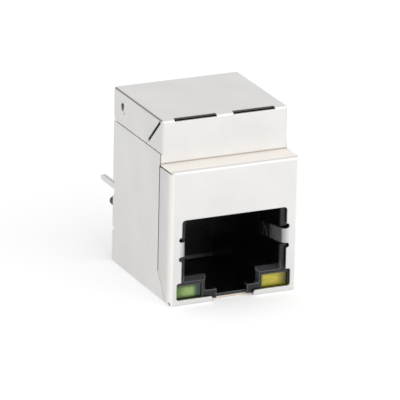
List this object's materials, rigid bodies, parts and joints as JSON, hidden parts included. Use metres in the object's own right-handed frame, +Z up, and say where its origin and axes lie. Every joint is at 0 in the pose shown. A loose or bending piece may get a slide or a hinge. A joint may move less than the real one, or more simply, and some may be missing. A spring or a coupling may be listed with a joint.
{
  "type": "rj45 board jack",
  "caption": "Shielded upright modular jack for a circuit board, with a stepped metal shell, a plug port, two indicator lamps and coils inside.",
  "frame": {"origin": "middle of the shield's underside, halfway between the front face and the board face", "axes": "+X across the width, -Y out of the plug port, +Y towards the circuit board, +Z up away from the lamps"},
  "size_m": [0.016, 0.0205, 0.0217],
  "materials": {
    "plated_sheet": "satin nickel plating",
    "black_moulding": "moulded, semi-gloss",
    "black_insert": "moulded, matt",
    "gold_plating": "gold plating",
    "tinned_wire": "bright tin",
    "board_laminate": "solder mask",
    "green_lens": "clear green epoxy",
    "yellow_lens": "clear yellow epoxy",
    "ferrite": "matt ferrite",
    "copper_wire": "enamelled copper",
    "tan_ceramic": "matt",
    "black_ceramic": "matt"
  },
  "bodies": {
    "root": {"shield": "plated_sheet", "housing": "black_moulding", "contact_comb": "black_insert", "circuit_board": "board_laminate", "pin_base": "black_moulding", "isolation_capacitor": "tan_ceramic", "contact_1": "gold_plating", "contact_2": "gold_plating", "contact_3": "gold_plating", "contact_4": "gold_plating", "contact_5": "gold_plating", "contact_6": "gold_plating", "contact_7": "gold_plating", "contact_8": "gold_plating", "signal_pin_1": "tinned_wire", "signal_pin_2": "tinned_wire", "signal_pin_3": "tinned_wire", "signal_pin_4": "tinned_wire", "signal_pin_5": "tinned_wire", "signal_pin_6": "tinned_wire", "signal_pin_7": "tinned_wire", "signal_pin_8": "tinned_wire", "signal_pin_9": "tinned_wire", "signal_pin_10": "tinned_wire", "lamp_green": "green_lens", "lamp_yellow": "yellow_lens", "lamp_lead_1": "tinned_wire", "lamp_lead_2": "tinned_wire", "lamp_lead_3": "tinned_wire", "lamp_lead_4": "tinned_wire", "ring_core_1": "ferrite", "ring_core_2": "ferrite", "ring_core_3": "ferrite", "ring_core_4": "ferrite", "ring_core_5": "ferrite", "ring_core_6": "ferrite", "ring_core_7": "ferrite", "ring_core_8": "ferrite", "winding_1": "copper_wire", "winding_2": "copper_wire", "winding_3": "copper_wire", "winding_4": "copper_wire", "winding_5": "copper_wire", "winding_6": "copper_wire", "winding_7": "copper_wire", "winding_8": "copper_wire", "resistor_1": "black_ceramic", "resistor_2": "black_ceramic", "resistor_3": "black_ceramic", "resistor_4": "black_ceramic"}
  },
  "joints": []
}
